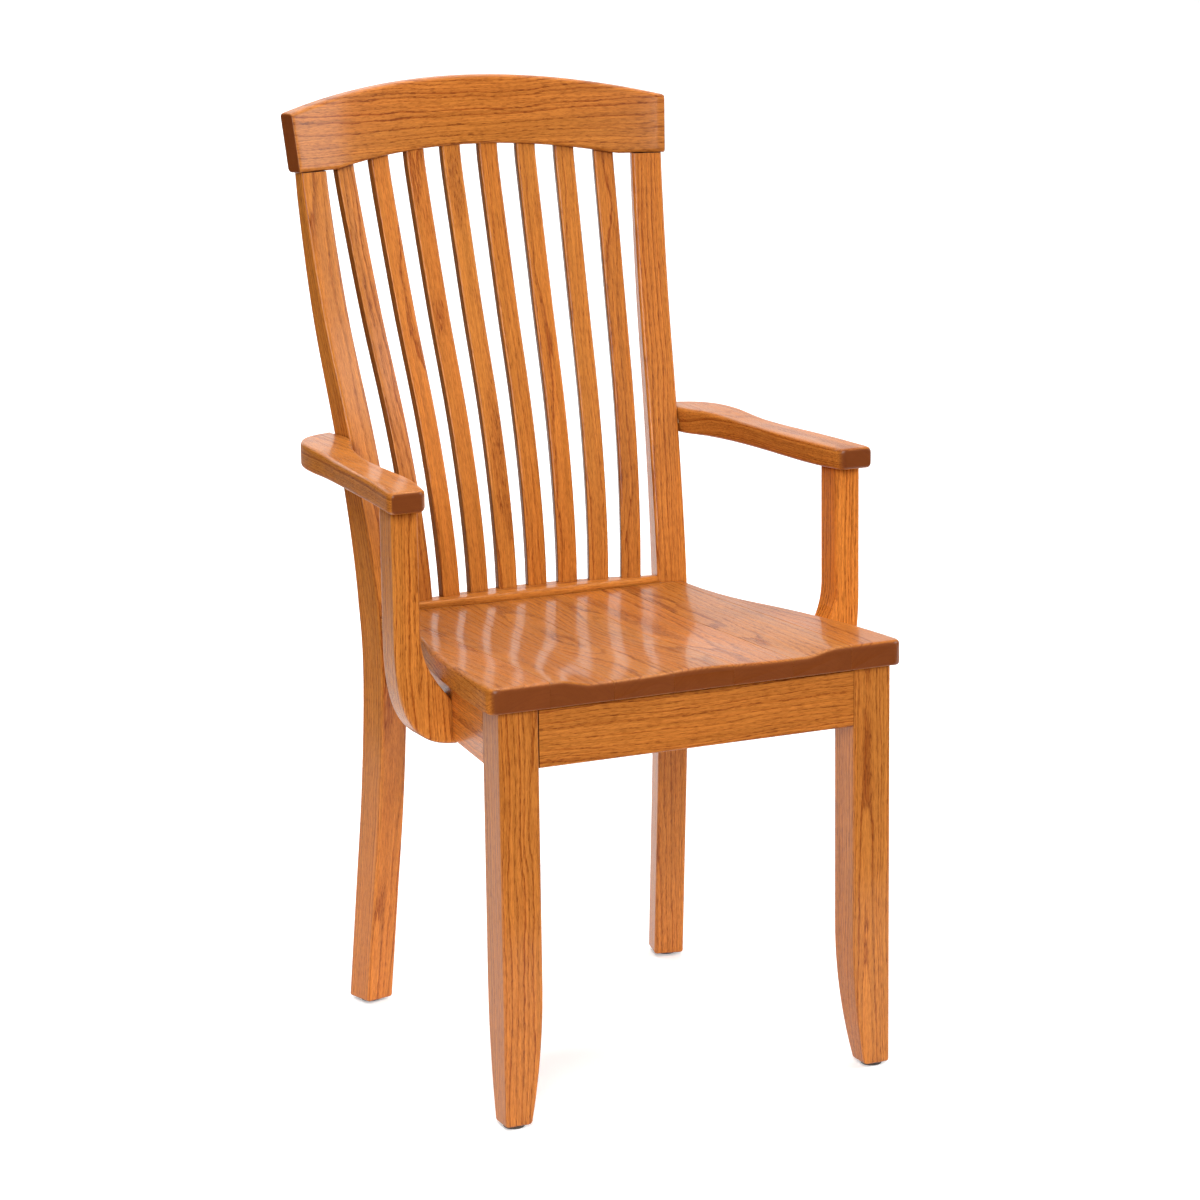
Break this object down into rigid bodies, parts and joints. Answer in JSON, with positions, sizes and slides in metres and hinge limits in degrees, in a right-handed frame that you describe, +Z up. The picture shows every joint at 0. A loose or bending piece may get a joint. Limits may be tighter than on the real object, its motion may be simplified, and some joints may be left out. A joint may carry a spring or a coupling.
{
  "type": "wooden armchair",
  "caption": "Wooden dining armchair: saddle seat, tall fanned slat back under a curved crest rail, tapered legs, and flat arms on supports that sweep in under the seat.",
  "frame": {"origin": "on the floor, in the middle of the chair's bounding box", "axes": "+Z up, -Y the way the seat faces, +X to the right for a viewer in front of the chair"},
  "size_m": [0.5484, 0.5858, 1.008],
  "materials": {
    "oak": "medium brown oak with open grain, semi-gloss lacquer",
    "block_wood": "unfinished pale hardwood",
    "zinc_steel": "bright zinc plate",
    "glide_nylon": "matte dark nylon"
  },
  "bodies": {
    "root": {"arm_dowel_1_left": "block_wood", "arm_dowel_1_right": "block_wood", "arm_dowel_2_left": "block_wood", "arm_dowel_2_right": "block_wood", "arm_left": "oak", "arm_right": "oak", "arm_support_left": "oak", "arm_support_right": "oak", "arm_support_screw_1_left": "zinc_steel", "arm_support_screw_1_right": "zinc_steel", "arm_support_screw_2_left": "zinc_steel", "arm_support_screw_2_right": "zinc_steel", "back_post_left": "oak", "back_post_right": "oak", "corner_block_front_left": "block_wood", "corner_block_front_right": "block_wood", "corner_block_rear_left": "block_wood", "corner_block_rear_right": "block_wood", "crest_rail": "oak", "front_apron": "oak", "front_leg_left": "oak", "front_leg_right": "oak", "glide_front_left": "glide_nylon", "glide_front_right": "glide_nylon", "glide_rear_left": "glide_nylon", "glide_rear_right": "glide_nylon", "leg_lag_screw_front_left": "zinc_steel", "leg_lag_screw_front_right": "zinc_steel", "leg_lag_screw_rear_left": "zinc_steel", "leg_lag_screw_rear_right": "zinc_steel", "lower_back_rail": "oak", "rear_apron": "oak", "seat_board_1": "oak", "seat_board_2": "oak", "seat_board_3": "oak", "seat_board_4": "oak", "seat_board_5": "oak", "seat_board_6": "oak", "seat_board_7": "oak", "seat_screw_front_left": "zinc_steel", "seat_screw_front_right": "zinc_steel", "seat_screw_rear_left": "zinc_steel", "seat_screw_rear_right": "zinc_steel", "side_apron_left": "oak", "side_apron_right": "oak", "slat_1": "oak", "slat_2": "oak", "slat_3": "oak", "slat_4": "oak", "slat_5": "oak", "slat_6": "oak", "slat_7": "oak", "slat_8": "oak"}
  },
  "joints": []
}
